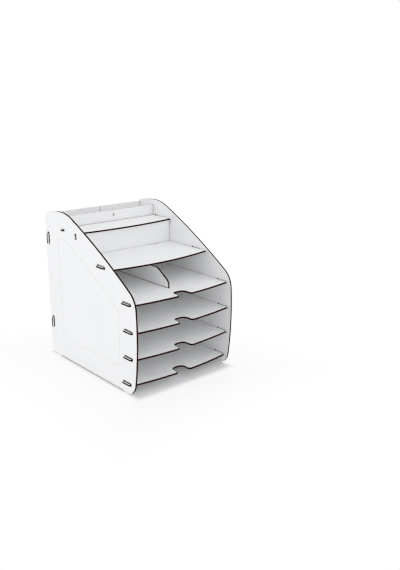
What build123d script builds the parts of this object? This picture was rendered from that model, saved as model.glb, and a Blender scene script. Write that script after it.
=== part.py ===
from build123d import *
from math import cos, radians, sqrt, tan
import os

# Sheet stock and fits, in millimetres. x runs across, y from the front to the back, z up.
board = 3.0                 # thickness of the hardboard that every piece is cut from
joint_fit = 0.15            # play round a tab in its slot, and along an edge that meets a board
tab_root = 4.0              # length by which a tab's outline runs back into its own board

# Overall room inside the rack
bay_width = 244.0           # clear width between the side panels
rack_depth = 327.0          # front edge to rear edge of a side panel
back_inset = 8.5            # rear edge of a side panel to the rear face of the back panel
back_floor_gap = 8.0        # desk to the lower edge of the back panel

# Heights
bottom_clearance = 19.4     # desk to the underside of the bottom document shelf
document_pitch = 55.4       # from one document shelf to the next
top_bay_height = 52.9       # clear height of the split bay under the note shelf
riser_height = 49.1         # clear height from the note shelf to the top ledge
pen_wall_rise = 24.9        # top ledge to the top edge of the pen box wall
back_rise = 1.2             # height of the back panel and divider above the pen box wall
crown_rise = 10.2           # height of the side panels' crown above the back panel

# Depths of the upper steps
pen_box_depth = 48.3        # clear depth of the pen box
ledge_depth = 61.9          # side end of the ledge's front edge to the pen box wall
riser_setback = 2.0         # side end of the ledge's front edge to the riser panel

# Outline of a side panel
front_radius = 700.0        # radius of the gently bowed front edge
belly_height = 131.0        # height at which that edge reaches furthest forward
shoulder_rise = 12.4        # top of the upper document shelf to the start of the slope
slope_bulge = 6.3           # rise of the bowed slope above its chord
crest_setback = 91.0        # rear edge to where the slope meets the crown
crown_setback = 70.0        # rear edge to the highest point of the crown
crown_fall = 9.9            # fall of the crown from there to the rear edge
crest_fall = 0.9            # fall of the crown from there to the slope
shoulder_radius = 45.0
crest_radius = 95.0
rear_top_radius = 20.0
rear_foot_radius = 18.0
front_foot_radius = 30.0
foot_front_length = 45.0    # front plane to the end of the front foot
foot_rear_length = 37.0     # rear edge to the end of the rear foot
foot_relief = 3.0           # height of the relieved edge between the feet
foot_ramp = 7.0             # length over which the edge rises

# Engraved contour on the outside of each side panel
engrave_width = 0.8
engrave_depth = 0.35
engrave_gap = 58.0          # from the bowed front edge and from the slope
engrave_rear = 50.1         # from the rear edge
engrave_bottom = 49.2       # from the desk
engrave_radius = 15.0

# Front edges of the shelves
shelf_setback = 10.9        # side panel's edge to the side end of a shelf's front edge
document_bow = 10.5         # how far a document shelf's front edge bows forward at its middle
note_bow = 13.8
ledge_bow = 9.7
notch_width = 29.0          # finger notch in each document shelf
notch_depth = 26.0
notch_mouth_radius = 6.5
notch_root_radius = 11.0

# Hooked tabs that pass through the side panels
hook_reach = 1.2            # length by which a hook laps behind its slot
hook_play = 1.2             # extra slot length past the hook's travel
tab_stand = 3.4             # how far a hook stands out of the side panel
hook_nose_radius = 2.0
hook_heel_radius = 0.8
slot_radius = 1.2           # free corners of a hook slot
shelf_neck = 23.5           # length of a hooked tab's neck
ledge_neck = 7.5
back_neck = 22.0
shelf_tab_setback = 5.5     # shelf's front end to its tab
note_tab_setback = 22.4
ledge_tab_inset = 7.0       # ledge's tab to the pen box wall
back_tab_low = 65.0         # lower end of the back panel's lower neck
back_tab_high = 257.0       # lower end of its upper neck

# Plain tabs
rear_tab_width = 30.0
rear_tab_spread = 70.0      # middle of the rack to the middle of a rear tab
rear_tab_stand = 1.0        # how far a rear tab stands out of the back panel
tab_tip_radius = 0.8
upright_tab_width = 30.0    # tabs of the riser and the pen box wall in the note shelf
upright_tab_spread = 78.0
ledge_tab_spread = 60.0     # tabs of the ledge in the pen box wall
riser_pin_height = 9.0      # tabs of the riser in the side panels
riser_pin_drop = 1.0        # top edge of the riser down to such a tab
riser_pin_stand = 0.6

# Pen box
divider_offset = 10.5       # middle of the rack to the middle of the divider
divider_front_tab = 5.0     # height of the divider's tab in the pen box wall
divider_front_drop = 8.7    # top edge of the pen box wall down to that tab
divider_rear_tab = 22.0     # height of its tab in the back panel
divider_rear_drop = 30.0    # top edge of the divider down to that tab
divider_foot_tab = 20.0     # length of its tab in the note shelf
pen_wall_corner = 6.0
divider_corner = 1.2

# Partition of the split bay
partition_height = 37.6
partition_front = 57.2      # front plane to the partition's front edge
partition_knee = 14.2       # height at which its front edge starts to lean back
partition_lean = 32.7       # slope of the leaning edge above the level, in degrees
partition_knee_radius = 14.0
partition_crest_radius = 24.0
partition_foot_tab = 25.0   # length of its two tabs in the shelf
partition_foot_inset = 38.0 # from each end of the partition to the middle of such a tab
partition_rear_tab = 16.0   # height of its tab in the back panel
partition_rear_rise = 10.0  # shelf to that tab

# Places that follow from the sizes above
rack_width = bay_width + 2 * board
half_board_width = bay_width / 2 - joint_fit
hook_slack = hook_reach + hook_play
bottom_underside = bottom_clearance
lower_underside = bottom_underside + document_pitch
middle_underside = lower_underside + document_pitch
upper_underside = middle_underside + document_pitch
upper_top = upper_underside + board
note_underside = upper_top + top_bay_height
note_top = note_underside + board
ledge_underside = note_top + riser_height
ledge_top = ledge_underside + board
pen_wall_top = ledge_top + pen_wall_rise
back_top = pen_wall_top + back_rise
rack_height = back_top + crown_rise
back_rear = rack_depth - back_inset
back_front = back_rear - board
pen_wall_rear = back_front - pen_box_depth
pen_wall_front = pen_wall_rear - board
ledge_front = pen_wall_front - ledge_depth
riser_front = ledge_front + riser_setback
shoulder_height = upper_top + shoulder_rise
rear_tab_middles = (-rear_tab_spread, rear_tab_spread)
upright_tab_middles = (-upright_tab_spread, upright_tab_spread)
ledge_tab_middles = (-ledge_tab_spread, ledge_tab_spread)


# Small tools for flat outlines
def window(u0, u1, v0, v1):
    """A rectangle between two pairs of limits."""
    return Pos((u0 + u1) / 2, (v0 + v1) / 2) * Rectangle(abs(u1 - u0), abs(v1 - v0))


def rounded(outline, radius, corners):
    """The outline with the corners nearest to the given points rounded."""
    picked = [outline.vertices().sort_by_distance((u, v, 0))[0] for u, v in corners]
    return fillet(picked, radius)


def both_sides(outline):
    """An outline on the right, and its mirror image on the left."""
    return outline + mirror(outline, about=Plane.YZ)


# Boards are cut flat and stand in one of three ways
def level_board(outline, underside):
    return extrude(Plane.XY.offset(underside) * outline, amount=board)


def cross_board(outline, front):
    return extrude(Plane.XZ.offset(-front) * outline, amount=-board)


def side_board(outline, left_face, thickness=board):
    return extrude(Plane.YZ.offset(left_face) * outline, amount=thickness)


# Hooked tab and its slot
def hook_tab(start, neck, toward):
    """A tab on a board's right edge, whose head hooks behind the side panel.

    It starts at one place along the edge and runs toward +1 or -1. The head is longer than the
    neck by the hook, and its inner face clears the panel's outside.
    """
    root = half_board_width - tab_root
    seat = rack_width / 2 + joint_fit
    tip = rack_width / 2 + tab_stand
    neck_end = start + toward * neck
    hook_end = neck_end + toward * hook_reach
    tab = window(root, tip, start, neck_end) + window(seat, tip, neck_end, hook_end)
    tab = rounded(tab, hook_nose_radius, [(tip, start)])
    return rounded(tab, hook_heel_radius, [(tip, hook_end)])


def hook_slot(y0, y1, z0, z1):
    """A slot in a side panel. The tab rests in its lower rear corner, so that one stays sharp."""
    return rounded(window(y0, y1, z0, z1), slot_radius, [(y0, z0), (y0, z1), (y1, z1)])


def shelf_hook_slot(start, neck, underside):
    return hook_slot(start - hook_slack, start + neck + joint_fit,
                     underside, underside + board + hook_slack)


def back_hook_slot(low):
    return hook_slot(back_front - hook_slack, back_rear + joint_fit,
                     low, low + back_neck + hook_slack)


# Plain tabs and slots
def rear_tab(middle, rear, tip):
    """A tab on the rear edge of a level board."""
    low, high = middle - rear_tab_width / 2, middle + rear_tab_width / 2
    tab = window(low, high, rear - tab_root, tip)
    return rounded(tab, tab_tip_radius, [(low, tip), (high, tip)])


def rear_slot(middle, underside):
    """The slot for such a tab in an upright board. The tab rests on its lower edge."""
    half = rear_tab_width / 2 + joint_fit
    return window(middle - half, middle + half, underside, underside + board + joint_fit)


def foot_tab(middle, width, tip, edge):
    """A tab on the lower edge of an upright board."""
    return window(middle - width / 2, middle + width / 2, tip, edge + tab_root)


def foot_slot(u_middle, u_size, v_middle, v_size):
    """The slot for such a tab, with play all round."""
    half_u = u_size / 2 + joint_fit
    half_v = v_size / 2 + joint_fit
    return window(u_middle - half_u, u_middle + half_u, v_middle - half_v, v_middle + half_v)


# Outline of a side panel, in depth and height
def front_inset(height):
    """Distance of the bowed front edge behind the front plane."""
    return front_radius - sqrt(front_radius**2 - (height - belly_height)**2)


toe = (front_inset(0), 0)
shoulder = (front_inset(shoulder_height), shoulder_height)
crest = (rack_depth - crest_setback, rack_height - crest_fall)
slope = SagittaArc(crest, shoulder, -slope_bulge)


def panel_outline():
    crown = (rack_depth - crown_setback, rack_height)
    rear_top = (rack_depth, rack_height - crown_fall)
    heel = (rack_depth, 0)
    edges = [
        Line(toe, heel),
        Line(heel, rear_top),
        ThreePointArc(rear_top, crown, crest),
        slope,
        ThreePointArc(shoulder, (0, belly_height), toe),
    ]
    outline = make_face(edges)
    outline = rounded(outline, shoulder_radius, [shoulder])
    outline = rounded(outline, crest_radius, [crest])
    outline = rounded(outline, rear_top_radius, [rear_top])
    outline = rounded(outline, rear_foot_radius, [heel])
    outline = rounded(outline, front_foot_radius, [toe])
    relief_front = foot_front_length
    relief_rear = rack_depth - foot_rear_length
    relief = Polygon((relief_front, 0), (relief_rear, 0),
                     (relief_rear - foot_ramp, foot_relief),
                     (relief_front + foot_ramp, foot_relief), align=None)
    return outline - relief


def edge_at(outline, height):
    """Depth at which the outline's front edge lies at a height."""
    strip = window(-rack_depth, rack_depth, height - board / 100, height + board / 100)
    return (outline & strip).bounding_box().min.X


side_outline = panel_outline()


def shelf_front(underside):
    """Side end of a shelf's front edge, behind the side panel's edge at the shelf's top face."""
    return edge_at(side_outline, underside + board) + shelf_setback


document_undersides = {
    "bottom_document_shelf": bottom_underside,
    "lower_document_shelf": lower_underside,
    "middle_document_shelf": middle_underside,
    "upper_document_shelf": upper_underside,
}
document_fronts = {name: shelf_front(level) for name, level in document_undersides.items()}
note_front = shelf_front(note_underside)
note_tab_start = note_front + note_tab_setback
ledge_tab_start = pen_wall_front - ledge_tab_inset - ledge_neck
riser_pin_top = ledge_underside - riser_pin_drop
riser_pin_low = riser_pin_top - riser_pin_height
back_neck_lows = (back_tab_low, back_tab_high)
divider_front_top = pen_wall_top - divider_front_drop
divider_rear_top = back_top - divider_rear_drop
pen_box_middle = (pen_wall_rear + back_front) / 2
partition_rear = back_front - joint_fit
partition_foot_middles = (partition_front + partition_foot_inset,
                          partition_rear - partition_foot_inset)
partition_rear_low = upper_top + partition_rear_rise


# Side panels
def engraved_field(inset):
    """The area inside the engraved contour, drawn in by an inset.

    The contour keeps one distance from the bowed front edge and from the slope.
    """
    rear = rack_depth - engrave_rear - inset
    low = engrave_bottom + inset
    gap = engrave_gap + inset
    behind_front = Pos(front_radius, belly_height) * Circle(front_radius - gap)
    below_slope = Pos(slope.arc_center) * Circle(slope.radius - gap)
    field = window(0, rear, low, rack_height) & behind_front & below_slope
    corners = [(gap, low), (rear, low), (rear, rack_height), (shoulder[0] + gap, shoulder[1])]
    return rounded(field, engrave_radius - inset, corners)


def panel_slots():
    slots = [shelf_hook_slot(document_fronts[name] + shelf_tab_setback, shelf_neck, level)
             for name, level in document_undersides.items()]
    slots.append(shelf_hook_slot(note_tab_start, shelf_neck, note_underside))
    slots.append(shelf_hook_slot(ledge_tab_start, ledge_neck, ledge_underside))
    slots.append(hook_slot(riser_front - hook_slack, riser_front + board + joint_fit,
                           riser_pin_low, riser_pin_top + hook_slack))
    slots += [back_hook_slot(low) for low in back_neck_lows]
    return slots


def side_panel(left_face, outer_face):
    panel = side_board(side_outline - panel_slots(), left_face)
    inward = engrave_depth if outer_face < 0 else -engrave_depth
    line = engraved_field(0) - engraved_field(engrave_width)
    return panel - side_board(line, outer_face, inward)


# Level boards
def shelf_outline(front, bow, rear):
    left, right = -half_board_width, half_board_width
    edges = [
        SagittaArc((left, front), (right, front), -bow),
        Line((right, front), (right, rear)),
        Line((right, rear), (left, rear)),
        Line((left, rear), (left, front)),
    ]
    return make_face(edges)


def backed_shelf(front, bow, tab_start):
    """A shelf hooked into the side panels, with two tabs through the back panel."""
    rear = back_front - joint_fit
    outline = shelf_outline(front, bow, rear) + both_sides(hook_tab(tab_start, shelf_neck, 1))
    tabs = [rear_tab(middle, rear, back_rear + rear_tab_stand) for middle in rear_tab_middles]
    return outline + tabs


def document_shelf(front):
    outline = backed_shelf(front, document_bow, front + shelf_tab_setback)
    lip = front - document_bow
    half = notch_width / 2
    outline = outline - window(-half, half, lip - board, lip + notch_depth)
    outline = rounded(outline, notch_mouth_radius, [(-half, lip), (half, lip)])
    root = lip + notch_depth
    return rounded(outline, notch_root_radius, [(-half, root), (half, root)])


def upper_document_shelf(front):
    slots = [foot_slot(0, board, middle, partition_foot_tab) for middle in partition_foot_middles]
    return document_shelf(front) - slots


def note_shelf():
    slots = [foot_slot(middle, upright_tab_width, face + board / 2, board)
             for middle in upright_tab_middles for face in (riser_front, pen_wall_front)]
    slots.append(foot_slot(divider_offset, board, pen_box_middle, divider_foot_tab))
    return backed_shelf(note_front, note_bow, note_tab_start) - slots


def top_ledge():
    rear = pen_wall_front - joint_fit
    outline = shelf_outline(ledge_front, ledge_bow, rear)
    outline += both_sides(hook_tab(ledge_tab_start, ledge_neck, 1))
    tabs = [rear_tab(middle, rear, pen_wall_rear) for middle in ledge_tab_middles]
    return outline + tabs


# Boards that stand across the rack
def back_panel():
    half = half_board_width
    outline = window(-half, half, back_floor_gap, back_top)
    outline = rounded(outline, pen_wall_corner, [(-half, back_top), (half, back_top)])
    for low in back_neck_lows:
        outline += both_sides(hook_tab(low + back_neck, back_neck, -1))
    undersides = list(document_undersides.values()) + [note_underside]
    slots = [rear_slot(middle, level) for middle in rear_tab_middles for level in undersides]
    slots.append(foot_slot(0, board, partition_rear_low + partition_rear_tab / 2,
                           partition_rear_tab))
    slots.append(foot_slot(divider_offset, board, divider_rear_top - divider_rear_tab / 2,
                           divider_rear_tab))
    return outline - slots


def riser_panel():
    outline = window(-half_board_width, half_board_width, note_top, ledge_underside)
    pin = window(half_board_width - tab_root, rack_width / 2 + riser_pin_stand,
                 riser_pin_low, riser_pin_top)
    feet = [foot_tab(middle, upright_tab_width, note_underside, note_top)
            for middle in upright_tab_middles]
    return outline + both_sides(pin) + feet


def pen_box_wall():
    half = half_board_width
    outline = window(-half, half, note_top, pen_wall_top)
    outline = rounded(outline, pen_wall_corner, [(-half, pen_wall_top), (half, pen_wall_top)])
    outline += [foot_tab(middle, upright_tab_width, note_underside, note_top)
                for middle in upright_tab_middles]
    slots = [rear_slot(middle, ledge_underside) for middle in ledge_tab_middles]
    slots.append(foot_slot(divider_offset, board, divider_front_top - divider_front_tab / 2,
                           divider_front_tab))
    return outline - slots


# Boards that stand along the rack
def pen_box_divider():
    front, rear = pen_wall_rear + joint_fit, back_front - joint_fit
    outline = window(front, rear, note_top, back_top)
    outline = rounded(outline, divider_corner, [(front, back_top), (rear, back_top)])
    outline += window(pen_wall_front, front + tab_root,
                      divider_front_top - divider_front_tab, divider_front_top)
    outline += window(rear - tab_root, back_rear + rear_tab_stand,
                      divider_rear_top - divider_rear_tab, divider_rear_top)
    return outline + foot_tab(pen_box_middle, divider_foot_tab, note_underside, note_top)


def bay_partition():
    top = upper_top + partition_height
    knee = upper_top + partition_knee
    lean = (partition_height - partition_knee) / tan(radians(partition_lean))
    crest = partition_front + lean
    outline = Polygon((partition_front, upper_top), (partition_rear, upper_top),
                      (partition_rear, top), (crest, top), (partition_front, knee), align=None)
    outline = rounded(outline, partition_knee_radius, [(partition_front, knee)])
    outline = rounded(outline, partition_crest_radius, [(crest, top)])
    outline += [foot_tab(middle, partition_foot_tab, upper_underside, upper_top)
                for middle in partition_foot_middles]
    return outline + window(partition_rear - tab_root, back_rear + rear_tab_stand,
                            partition_rear_low, partition_rear_low + partition_rear_tab)


# Every piece in its place
pieces = {
    "left_side_panel": side_panel(-rack_width / 2, -rack_width / 2),
    "right_side_panel": side_panel(bay_width / 2, rack_width / 2),
    "back_panel": cross_board(back_panel(), back_front),
    "riser_panel": cross_board(riser_panel(), riser_front),
    "pen_box_wall": cross_board(pen_box_wall(), pen_wall_front),
    "pen_box_divider": side_board(pen_box_divider(), divider_offset - board / 2),
    "bay_partition": side_board(bay_partition(), -board / 2),
    "top_ledge": level_board(top_ledge(), ledge_underside),
    "note_shelf": level_board(note_shelf(), note_underside),
}
for name, level in document_undersides.items():
    cut = upper_document_shelf if name == "upper_document_shelf" else document_shelf
    pieces[name] = level_board(cut(document_fronts[name]), level)

# The origin is on the desk, under the middle of the rack
os.makedirs("parts", exist_ok=True)
for name, piece in pieces.items():
    export_step(Pos(0, -rack_depth / 2, 0) * piece, f"parts/{name}.step")
    print(name, round(piece.volume), "mm3")
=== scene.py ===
from math import pi, radians

import bpy
from mathutils import Matrix, Vector

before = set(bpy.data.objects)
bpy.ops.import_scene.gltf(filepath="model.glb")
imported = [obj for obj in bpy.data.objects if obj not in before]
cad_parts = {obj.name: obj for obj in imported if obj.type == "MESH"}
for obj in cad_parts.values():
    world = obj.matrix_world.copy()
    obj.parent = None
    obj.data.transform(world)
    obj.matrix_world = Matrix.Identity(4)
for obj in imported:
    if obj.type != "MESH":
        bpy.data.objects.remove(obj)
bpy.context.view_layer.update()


# Camera: it stands to the left of the rack and a little above it, and looks into the open front.
camera_place = (-0.8283, -1.1374, 0.5925)
camera_turn = radians(41.53)     # from straight ahead toward the right
camera_tilt = radians(16.71)     # below the level
camera_roll = radians(0.20)
camera_lens = 42.60              # mm, on a 36 mm frame that stands upright

camera = bpy.data.objects.new("camera", bpy.data.cameras.new("camera"))
camera.data.sensor_fit = "VERTICAL"
camera.data.sensor_height = 36.0
camera.data.lens = camera_lens
camera.data.clip_start = 0.05
camera.data.clip_end = 60.0
camera.matrix_world = (Matrix.Translation(camera_place)
                       @ Matrix.Rotation(-camera_turn, 4, "Z")
                       @ Matrix.Rotation(pi / 2 - camera_tilt, 4, "X")
                       @ Matrix.Rotation(camera_roll, 4, "Z"))
bpy.context.scene.collection.objects.link(camera)
bpy.context.scene.camera = camera


# Side panels: two 3 mm hardboard sheets, lacquered white and cut by laser, which burns edges and
# slots dark brown, with a fine contour engraved on the outside. Their slots hold the shelves, the
# ledge, the riser and the back panel.
def new_group(name, inputs, outputs):
    """An empty shader group. Each socket is a pair of its name and its kind."""
    group = bpy.data.node_groups.new(name, "ShaderNodeTree")
    for sockets, way in ((inputs, "INPUT"), (outputs, "OUTPUT")):
        for label, kind in sockets:
            group.interface.new_socket(label, in_out=way, socket_type="NodeSocket" + kind)
    return group, group.nodes.new("NodeGroupInput"), group.nodes.new("NodeGroupOutput")


def node(tree, kind, settings=(), **inputs):
    """A node with its settings and inputs. An input is a socket to link, or a plain value.

    Inputs go by name, with _ for a space, or by number, as i0, i1 and so on.
    """
    made = tree.nodes.new("ShaderNode" + kind)
    for key, value in dict(settings).items():
        setattr(made, key, value)
    for key, value in inputs.items():
        by_number = key[0] == "i" and key[1:].isdigit()
        socket = made.inputs[int(key[1:]) if by_number else key.replace("_", " ")]
        if isinstance(value, bpy.types.NodeSocket):
            tree.links.new(value, socket)
        else:
            socket.default_value = value
    return made


def math(tree, operation, first, second=0.0):
    return node(tree, "Math", {"operation": operation}, i0=first, i1=second).outputs[0]


def vector_math(tree, operation, first, second=(0.0, 0.0, 0.0), output=0):
    return node(tree, "VectorMath", {"operation": operation}, i0=first, i1=second).outputs[output]


def remap(tree, value, low, high, to_low=0.0, to_high=1.0):
    """A smooth step from one pair of limits to another."""
    return node(tree, "MapRange", {"interpolation_type": "SMOOTHSTEP"}, Value=value,
                From_Min=low, From_Max=high, To_Min=to_low, To_Max=to_high).outputs[0]


def invert(tree, share):
    return math(tree, "SUBTRACT", 1.0, share)


def object_xyz(tree):
    """Where a point lies across, along and up the rack."""
    return node(tree, "SeparateXYZ", i0=node(tree, "TexCoord").outputs["Object"])


def blend_colours(tree, share, first, second):
    return node(tree, "Mix", {"data_type": "RGBA"}, i0=share, i6=first, i7=second).outputs[2]


def blend_values(tree, share, first, second):
    return node(tree, "Mix", {"data_type": "FLOAT"}, i0=share, i2=first, i3=second).outputs[0]


def laser_cut_group():
    """Where the laser has cut: the burnt edge, a scorched hem on the face beside it, and smoke.

    The nearer a face point is to an edge, the further a rounding of that edge would turn its normal.
    """
    tree, ins, outs = new_group(
        "laser_cut",
        [("Board Axis", "Vector"), ("Hem Width", "Float"), ("Hem Noise", "Float")],
        [("Cut Edge", "Float"), ("Scorched Hem", "Float"), ("Smoke Stain", "Float")])
    here = node(tree, "TexCoord")
    along = vector_math(tree, "DOT_PRODUCT", here.outputs["Normal"], ins.outputs["Board Axis"], 1)
    facing = math(tree, "ABSOLUTE", along)
    cut = remap(tree, facing, 0.6, 0.4)
    smoke = node(tree, "TexNoise", Vector=here.outputs["Object"], Scale=420.0, Detail=3.0)
    spread = remap(tree, smoke.outputs["Fac"], 0.25, 0.75)
    waver = math(tree, "MULTIPLY", math(tree, "SUBTRACT", spread, 0.5), ins.outputs["Hem Noise"])
    reach = math(tree, "MULTIPLY", ins.outputs["Hem Width"], math(tree, "ADD", waver, 1.0))
    rounded = node(tree, "Bevel", {"samples": 8}, Radius=reach)
    plain = node(tree, "NewGeometry")
    same = vector_math(tree, "DOT_PRODUCT", rounded.outputs[0], plain.outputs["Normal"], 1)
    on_face = invert(tree, cut)
    tree.links.new(cut, outs.inputs["Cut Edge"])
    for mask, start, full in (("Scorched Hem", 0.985, 0.94), ("Smoke Stain", 0.999, 0.96)):
        share = math(tree, "MULTIPLY", remap(tree, same, start, full), on_face)
        tree.links.new(share, outs.inputs[mask])
    return tree


def lacquer_group():
    """White lacquer rolled on hardboard: faint clouds, a fine orange peel, and rubbed spots."""
    tree, ins, outs = new_group(
        "rolled_lacquer",
        [("Color", "Color"), ("Clouds", "Float"), ("Peel Size", "Float"), ("Rubbed", "Float"),
         ("Roughness", "Float")],
        [("Color", "Color"), ("Roughness", "Float"), ("Height", "Float")])
    place = node(tree, "TexCoord").outputs["Object"]
    cloud = node(tree, "TexNoise", Vector=place, Scale=9.0, Detail=4.0, Roughness=0.55)
    cloudy = math(tree, "MULTIPLY", remap(tree, cloud.outputs["Fac"], 0.3, 0.7), ins.outputs["Clouds"])
    shade = blend_colours(tree, cloudy, ins.outputs["Color"], cloud_grey)
    peel_scale = math(tree, "DIVIDE", 1.0, ins.outputs["Peel Size"])
    peel = node(tree, "TexNoise", Vector=place, Scale=peel_scale, Detail=2.0, Roughness=0.4)
    drawn_out = vector_math(tree, "MULTIPLY", place, roller_stretch)
    roller = node(tree, "TexNoise", Vector=drawn_out, Scale=0.35, Detail=2.0)
    worn = node(tree, "TexNoise", Vector=place, Scale=23.0, Detail=6.0, Roughness=0.7)
    rubbed = math(tree, "MULTIPLY", remap(tree, worn.outputs["Fac"], 0.52, 0.75), ins.outputs["Rubbed"])
    rough = math(tree, "ADD", ins.outputs["Roughness"], rubbed)
    grain = math(tree, "MULTIPLY", roller.outputs["Fac"], roller_depth)
    tree.links.new(shade, outs.inputs["Color"])
    tree.links.new(rough, outs.inputs["Roughness"])
    tree.links.new(math(tree, "ADD", peel.outputs["Fac"], grain), outs.inputs["Height"])
    return tree


def burnt_edge_group():
    """Burnt hardboard: fine laser strokes across the sheet, and soot that lies unevenly along it."""
    tree, ins, outs = new_group(
        "burnt_edge",
        [("Board Axis", "Vector"), ("Char", "Color"), ("Browned", "Color"), ("Stroke Pitch", "Float")],
        [("Color", "Color"), ("Roughness", "Float"), ("Height", "Float")])
    place = node(tree, "TexCoord").outputs["Object"]
    axis = ins.outputs["Board Axis"]
    depth = vector_math(tree, "DOT_PRODUCT", place, axis, 1)
    across = node(tree, "VectorMath", {"operation": "SCALE"}, i0=axis, Scale=depth).outputs[0]
    along = vector_math(tree, "SUBTRACT", place, across)
    pitch = math(tree, "DIVIDE", 1.0, ins.outputs["Stroke Pitch"])
    strokes = node(tree, "TexNoise", Vector=along, Scale=pitch, Detail=2.0, Roughness=0.6)
    fibre_place = math(tree, "MULTIPLY", depth, fibres_per_metre)
    fibres = node(tree, "TexNoise", {"noise_dimensions": "1D"}, W=fibre_place, Scale=1.0, Detail=2.0)
    soot = node(tree, "TexNoise", Vector=place, Scale=130.0, Detail=4.0, Roughness=0.65)
    mixed = math(tree, "ADD", math(tree, "MULTIPLY", strokes.outputs["Fac"], stroke_share),
                 math(tree, "MULTIPLY", fibres.outputs["Fac"], fibre_share))
    mixed = math(tree, "ADD", mixed, math(tree, "MULTIPLY", soot.outputs["Fac"], soot_share))
    lighter = remap(tree, mixed, 0.47, 0.68)
    tree.links.new(blend_colours(tree, lighter, ins.outputs["Char"], ins.outputs["Browned"]),
                   outs.inputs["Color"])
    tree.links.new(remap(tree, mixed, 0.3, 0.7, 0.55, 0.85), outs.inputs["Roughness"])
    tree.links.new(mixed, outs.inputs["Height"])
    return tree


def painted_corner_shade_group():
    """Painted shade in the inner corners where two boards meet, from ambient occlusion; none on tabs.
    """
    tree, ins, outs = new_group("painted_corner_shade", [("Openness", "Float"), ("Strength", "Float")],
                                [("Painted_Shade", "Float")])
    outward = math(tree, "ABSOLUTE", object_xyz(tree).outputs["X"])
    within = math(tree, "LESS_THAN", outward, just_outside)
    closed_in = remap(tree, ins.outputs["Openness"], 0.95, 0.50)
    corner_shade_layer = math(tree, "MULTIPLY", closed_in, ins.outputs["Strength"])
    tree.links.new(math(tree, "MULTIPLY", corner_shade_layer, within), outs.inputs["Painted_Shade"])
    return tree


def engraved_groove_group():
    """Where a side panel is engraved, and where its face stays clean beside an edge.

    The groove lies below the outer face, inside the reach of the contour. Smoke left no trace along
    the rear edge, the feet and the rear half of the crown.
    """
    tree, ins, outs = new_group("engraved_groove", [], [("Groove", "Float"), ("Near Line", "Float"),
                                                        ("Smoked", "Float")])
    place = object_xyz(tree)
    outward = math(tree, "ABSOLUTE", place.outputs["X"])
    depth = place.outputs["Y"]
    height = place.outputs["Z"]
    near = math(tree, "GREATER_THAN", outward, below_groove)
    above_slope = math(tree, "SUBTRACT", height, math(tree, "MULTIPLY", depth, groove_slope))
    for value, limit, way in ((depth, groove_front, "GREATER_THAN"), (depth, groove_rear, "LESS_THAN"),
                              (height, groove_low, "GREATER_THAN"),
                              (above_slope, groove_above, "LESS_THAN")):
        near = math(tree, "MULTIPLY", near, math(tree, way, value, limit))
    sunk = math(tree, "LESS_THAN", outward, just_below)
    tree.links.new(math(tree, "MULTIPLY", near, sunk), outs.inputs["Groove"])
    tree.links.new(near, outs.inputs["Near Line"])
    smoked = invert(tree, near)
    below_crown = math(tree, "ADD", height, math(tree, "MULTIPLY", depth, crown_slope))
    for value, limit, way in ((depth, clean_rear, "LESS_THAN"), (height, clean_foot, "GREATER_THAN"),
                              (below_crown, clean_crown, "LESS_THAN")):
        smoked = math(tree, "MULTIPLY", smoked, math(tree, way, value, limit))
    tree.links.new(smoked, outs.inputs["Smoked"])
    return tree


side_face = 0.1250               # outer face of a side panel, from the middle of the rack
board = 0.0030                   # thickness of the sheet
just_outside = side_face + 0.0002
just_below = side_face - 0.00002
groove_depth = 0.00035
below_groove = side_face - groove_depth - 0.0001
groove_front = -0.1120           # the contour lies between these limits, and no slot does
groove_rear = 0.1300
groove_low = 0.0300
groove_slope = 0.57
groove_above = 0.2540
clean_rear = 0.1575              # no smoke lies behind this
clean_foot = 0.0060              # nor below this
crown_slope = 0.35               # of the line behind which the crown stays clean
clean_crown = 0.3700
engraved_grey = (0.80, 0.79, 0.78, 1.0)
outer_hem = 0.0028               # reach of the scorch beside a cut, on an outer face
inner_hem = 0.0009               # and on the inner face of a side panel
back_slots_start = 0.140         # the slots of the back panel's hooks lie behind this
back_slots_full = 0.145          # and the hem has its full extra reach here
back_slot_hem = 1.5              # of the outer hem
hem_strength = 0.95
smoke_strength = 0.80
lacquer_white = (0.926, 0.926, 0.926, 1.0)
cloud_grey = (0.62, 0.66, 0.72, 1.0)
roller_stretch = (900.0, 900.0, 40.0)
roller_depth = 0.35              # of its marks, beside the orange peel
face_relief = 0.45               # of the lacquer, beside the burnt edge
fibres_per_metre = 5200.0
stroke_share = 0.45              # of strokes, fibres and soot in the look of a burnt edge
fibre_share = 0.25
soot_share = 0.30
char = (0.020, 0.0035, 0.0022, 1.0)
browned = (0.045, 0.0110, 0.0070, 1.0)
# Brown of the scorched hem, also used for the soot and painted shade on tabs in their slots.
scorch_and_slot_shade_brown = (0.030, 0.007, 0.0045, 1.0)
smoke_tan = (0.26, 0.12, 0.08, 1.0)
# Painted shade in the inner corners where two boards meet: its reach, its strength and its grey.
corner_shade_reach = 0.0060              # from an inner corner, where two boards meet
corner_shade_strength = 0.20
corner_shade_grey = (0.30, 0.30, 0.30, 1.0)
laser_cut = laser_cut_group()
engraved_groove = engraved_groove_group()
lacquer = lacquer_group()
burnt_edge = burnt_edge_group()
painted_corner_shade = painted_corner_shade_group()


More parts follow.
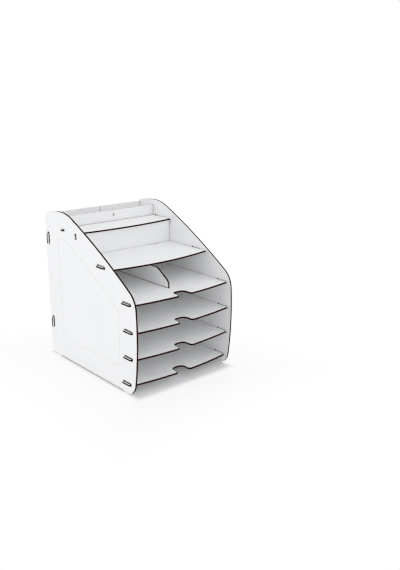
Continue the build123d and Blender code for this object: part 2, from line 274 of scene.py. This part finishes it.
def board_finish(name, axis, hem=outer_hem, fray=0.5, engraved=False, white_top=False,
                 pale_front=False):
    """White lacquer on the faces that look along the axis, and burnt hardboard on all others.

    The hem is the reach of the scorch on those faces, and its border frays by the share given. An
    engraved panel has slots and a contour, and any other board has tabs that sit in such slots. A
    board with a white top or a pale front has no burnt look on that edge.
    """
    material = bpy.data.materials.new(name)
    material.use_nodes = True
    tree = material.node_tree
    shader = tree.nodes["Principled BSDF"]
    here = node(tree, "TexCoord")
    looks = node(tree, "SeparateXYZ", i0=here.outputs["Normal"])
    if engraved:
        line = node(tree, "Group", {"node_tree": engraved_groove})
        place = object_xyz(tree)
        outer_half = math(tree, "GREATER_THAN", math(tree, "ABSOLUTE", place.outputs["X"]),
                          side_face - board / 2)
        outside_hem = remap(tree, place.outputs["Y"], back_slots_start, back_slots_full,
                            hem, back_slot_hem * hem)
        hem_width = blend_values(tree, outer_half, inner_hem, outside_hem)
    else:
        tab = node(tree, "Group", {"node_tree": tab_marks}, Soot_Left=slot_soot_and_shade_left,
                   Soot_Right=slot_soot_and_shade_right)
        hem_width = remap(tree, tab.outputs["Standing Out"], 0.0, 1.0, hem, tab_hem)
    cuts = node(tree, "Group", {"node_tree": laser_cut}, Board_Axis=axis,
                Hem_Width=hem_width, Hem_Noise=fray)
    face = node(tree, "Group", {"node_tree": lacquer}, Color=lacquer_white, Clouds=0.07,
                Peel_Size=0.0011, Rubbed=0.08, Roughness=0.42)
    edge = node(tree, "Group", {"node_tree": burnt_edge}, Board_Axis=axis, Char=char,
                Browned=browned, Stroke_Pitch=0.0005)
    # Painted shade in the inner corners where boards meet, from ambient occlusion.
    open_share = node(tree, "AmbientOcclusion", {"samples": 8}, Distance=corner_shade_reach).outputs["AO"]
    corner_shade_layer = node(tree, "Group", {"node_tree": painted_corner_shade}, Openness=open_share,
                Strength=corner_shade_strength)
    colour = face.outputs["Color"]
    corner_shade_share = corner_shade_layer.outputs["Painted_Shade"]
    hem_share = math(tree, "MULTIPLY", cuts.outputs["Scorched Hem"], hem_strength)
    smoke_share = math(tree, "MULTIPLY", cuts.outputs["Smoke Stain"], smoke_strength)
    cut_share = cuts.outputs["Cut Edge"]
    if white_top:
        burnt = remap(tree, looks.outputs["Z"], 0.90, 0.70)
        cut_share = math(tree, "MULTIPLY", cut_share, burnt)
    if engraved:
        unburnt = invert(tree, line.outputs["Near Line"])
        hem_share = math(tree, "MULTIPLY", hem_share, line.outputs["Smoked"])
        smoke_share = math(tree, "MULTIPLY", smoke_share, line.outputs["Smoked"])
        cut_share = math(tree, "MULTIPLY", cut_share, unburnt)
        corner_shade_share = math(tree, "MULTIPLY", corner_shade_share, unburnt)
        colour = blend_colours(tree, line.outputs["Groove"], colour, engraved_grey)
    else:
        # Soot on the tabs inside the slots, with painted shade, reaching deeper on the left.
        colour = blend_colours(tree, tab.outputs["Soot"], colour, scorch_and_slot_shade_brown)
        hem_share = math(tree, "MULTIPLY", hem_share, tab.outputs["Off Joint"])
        smoke_share = math(tree, "MULTIPLY", smoke_share, tab.outputs["Off Joint"])
    # The painted corner shade goes into the colour.
    colour = blend_colours(tree, corner_shade_share, colour, corner_shade_grey)
    colour = blend_colours(tree, smoke_share, colour, smoke_tan)
    colour = blend_colours(tree, hem_share, colour, scorch_and_slot_shade_brown)
    colour = blend_colours(tree, cut_share, colour, edge.outputs["Color"])
    if not engraved:
        pale = remap(tree, looks.outputs["Y"], -0.7, -0.9) if pale_front else tab.outputs["Pin End"]
        colour = blend_colours(tree, pale, colour, pin_grey)
    rough = blend_values(tree, cut_share, face.outputs["Roughness"], edge.outputs["Roughness"])
    face_height = math(tree, "MULTIPLY", face.outputs["Height"], face_relief)
    height = blend_values(tree, cut_share, face_height, edge.outputs["Height"])
    bump = node(tree, "Bump", Strength=0.35, Distance=0.0002, Height=height)
    tree.links.new(colour, shader.inputs["Base Color"])
    tree.links.new(rough, shader.inputs["Roughness"])
    tree.links.new(bump.outputs[0], shader.inputs["Normal"])
    shader.inputs["IOR"].default_value = 1.45
    shader.inputs["Specular IOR Level"].default_value = 0.08
    return material


def finish_board(name, material):
    """Gives a CAD board its finish."""
    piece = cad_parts[name]
    piece.data.materials.clear()
    piece.data.materials.append(material)


side_finish = board_finish("white_board_side", (1.0, 0.0, 0.0), engraved=True)
for side in ("left", "right"):
    finish_board(f"{side}_side_panel", side_finish)


# Document shelves: four level boards of the same sheet, each with a bowed front edge and a finger
# notch in its middle. Their hooked tabs show outside the panels, burnt all round.
def tab_marks_group():
    """The parts of a tab: what stands out of a panel, its soot and painted shade in the slot, and a
    pin's end.

    The panels hide the joints from the smoke, so there the boards stay clean.
    """
    tree, ins, outs = new_group(
        "tab_marks", [("Soot Left", "Float"), ("Soot Right", "Float")],
        [("Standing Out", "Float"), ("Soot", "Float"), ("Off Joint", "Float"), ("Pin End", "Float")])
    across = object_xyz(tree).outputs["X"]
    normal = node(tree, "TexCoord").outputs["Normal"]
    turned = node(tree, "SeparateXYZ", i0=normal).outputs["X"]
    outward = math(tree, "ABSOLUTE", across)
    outside = math(tree, "GREATER_THAN", outward, just_outside)
    left = math(tree, "LESS_THAN", across, math(tree, "SUBTRACT", ins.outputs["Soot Left"], side_face))
    right = math(tree, "GREATER_THAN", across,
                 math(tree, "SUBTRACT", side_face, ins.outputs["Soot Right"]))
    in_slot = math(tree, "MULTIPLY", math(tree, "MAXIMUM", left, right), invert(tree, outside))
    at_joint = math(tree, "MULTIPLY",
                    math(tree, "GREATER_THAN", outward, inner_face - clean_joint),
                    math(tree, "LESS_THAN", outward, inner_face))
    pin_end = math(tree, "MULTIPLY", outside, math(tree, "LESS_THAN", outward, side_face + pin_reach))
    pin_end = math(tree, "MULTIPLY", pin_end, remap(tree, math(tree, "ABSOLUTE", turned), 0.7, 0.9))
    # Soot and painted shade on a tab inside its slot.
    soot_and_shade = math(tree, "MULTIPLY", in_slot, slot_soot_and_shade_strength)
    for label, mask in (("Standing Out", outside), ("Soot", soot_and_shade),
                        ("Off Joint", invert(tree, at_joint)), ("Pin End", pin_end)):
        tree.links.new(mask, outs.inputs[label])
    return tree


inner_face = side_face - board
# Soot and painted shade on a tab inside its slot: it reaches almost through the left panel, where the
# slot's shade is painted in.
slot_soot_and_shade_left = 0.0029               # into a slot, from the outer face
slot_soot_and_shade_right = 0.0012
slot_soot_and_shade_strength = 0.96
clean_joint = 0.0030             # from a side panel inward
pin_reach = 0.0010               # a tab that stands out less than this is a pin
pin_grey = (0.50, 0.47, 0.45, 1.0)
tab_hem = 0.0010
level_hem = 0.0045
tab_marks = tab_marks_group()
level_finish = board_finish("white_board_level", (0.0, 0.0, 1.0), hem=level_hem, fray=0.2)
for level in ("upper", "middle", "lower", "bottom"):
    finish_board(f"{level}_document_shelf", level_finish)


# Note shelf and top ledge: the two upper steps, cut from the same sheet. They hook into the side
# panels like the document shelves, and the ledge has two tabs in the pen box wall too.
for name in ("note_shelf", "top_ledge"):
    finish_board(name, level_finish)


# Back panel, riser and pen box wall: boards of the same sheet that stand across the rack. The back
# panel hooks into the side panels, and the other two stand on tabs in the note shelf.
cross_finish = board_finish("white_board_cross", (0.0, 1.0, 0.0), white_top=True, hem=0.0)
for name in ("back_panel", "riser_panel"):
    finish_board(name, cross_finish)
pen_wall_hem = 0.0009
finish_board("pen_box_wall", board_finish("white_board_pen_wall", (0.0, 1.0, 0.0),
                                          white_top=True, hem=pen_wall_hem))


# Divider of the pen box and partition of the split bay: small boards of the same sheet that stand
# along the rack on their own foot tabs.
divider_hem = 0.0006
divider_finish = board_finish("white_board_divider", (1.0, 0.0, 0.0), white_top=True,
                              hem=divider_hem, pale_front=True)
finish_board("pen_box_divider", divider_finish)
finish_board("bay_partition", board_finish("white_board_partition", (1.0, 0.0, 0.0)))


# Floor: a wide pale sheet under the rack. The camera sees it nearly white, with a soft shadow that
# is strongest at the rack's foot.
def seen_by_eye(tree):
    """1 where the camera looks, also by way of gloss or glass."""
    rays = node(tree, "LightPath")
    return math(tree, "MAXIMUM", rays.outputs["Is Camera Ray"],
                math(tree, "MAXIMUM", rays.outputs["Is Glossy Ray"],
                     rays.outputs["Is Transmission Ray"]))


floor_half = 6.0
footprint = (0.125, 0.1635, 0.0)  # half the rack's width and depth
floor_white = (0.90, 0.90, 0.90, 1.0)
near_glow = 0.80                  # share of plain white that the camera sees near the rack
contact_start = -0.010            # from the edge of the footprint outward
contact_reach = 0.012
shadow_reach = 0.20
floor_mesh = bpy.data.meshes.new("floor")
floor_mesh.from_pydata([(-floor_half, -floor_half, 0), (floor_half, -floor_half, 0),
                        (floor_half, floor_half, 0), (-floor_half, floor_half, 0)],
                       [], [(0, 1, 2, 3)])
floor = bpy.data.objects.new("floor", floor_mesh)
bpy.context.scene.collection.objects.link(floor)
floor_finish = bpy.data.materials.new("floor_paper")
floor_finish.use_nodes = True
tree = floor_finish.node_tree
paper = tree.nodes["Principled BSDF"]
paper.inputs["Base Color"].default_value = floor_white
paper.inputs["Roughness"].default_value = 0.35
glow = node(tree, "Emission", Color=(1.0, 1.0, 1.0, 1.0), Strength=1.0)
spot = vector_math(tree, "ABSOLUTE", node(tree, "NewGeometry").outputs["Position"])
past = node(tree, "SeparateXYZ", i0=vector_math(tree, "SUBTRACT", spot, footprint))
away = math(tree, "MAXIMUM", past.outputs["X"], past.outputs["Y"])
close = remap(tree, away, contact_start, contact_reach, 0.0, near_glow)
far = remap(tree, away, contact_reach, shadow_reach, 0.0, 1.0 - near_glow)
glow_share = math(tree, "MULTIPLY", math(tree, "ADD", close, far), seen_by_eye(tree))
mixed = node(tree, "MixShader", i0=glow_share, i1=paper.outputs[0], i2=glow.outputs[0])
tree.links.new(mixed.outputs[0], tree.nodes["Material Output"].inputs["Surface"])
floor.data.materials.append(floor_finish)


# Studio light: an even white room, a small lamp low at the left, and a wider and weaker one high at
# the right front.
room_light = 0.90
world = bpy.data.worlds.new("studio")
bpy.context.scene.world = world
world.use_nodes = True
tree = world.node_tree
room = tree.nodes["Background"]
room.inputs["Color"].default_value = (0.975, 0.985, 1.0, 1.0)
room.inputs["Strength"].default_value = room_light
backdrop = node(tree, "Background", Color=(1.0, 1.0, 1.0, 1.0), Strength=1.0)
mixed = node(tree, "MixShader", i0=seen_by_eye(tree), i1=room.outputs[0], i2=backdrop.outputs[0])
tree.links.new(mixed.outputs[0], tree.nodes["World Output"].inputs["Surface"])

lamps = {
    "side_lamp": {"place": (-2.6, 0.3, 0.20), "width": 0.8, "power": 11.0},
    "top_lamp": {"place": (0.9, -1.9, 2.5), "width": 1.6, "power": 5.0},
}
rack_middle = Vector((0.0, 0.0, 0.15))
for name, lamp in lamps.items():
    light = bpy.data.lights.new(name, "AREA")
    light.shape = "SQUARE"
    light.size = lamp["width"]
    light.energy = lamp["power"]
    lit = bpy.data.objects.new(name, light)
    lit.location = lamp["place"]
    toward = rack_middle - Vector(lamp["place"])
    lit.rotation_euler = toward.to_track_quat("-Z", "Y").to_euler()
    bpy.context.scene.collection.objects.link(lit)

bpy.context.scene.cycles.diffuse_bounces = 12      # the deep white bays need them
bpy.context.scene.cycles.filter_width = 1.2        # keeps the thin burnt edges crisp
bpy.context.scene.view_settings.view_transform = "Standard"
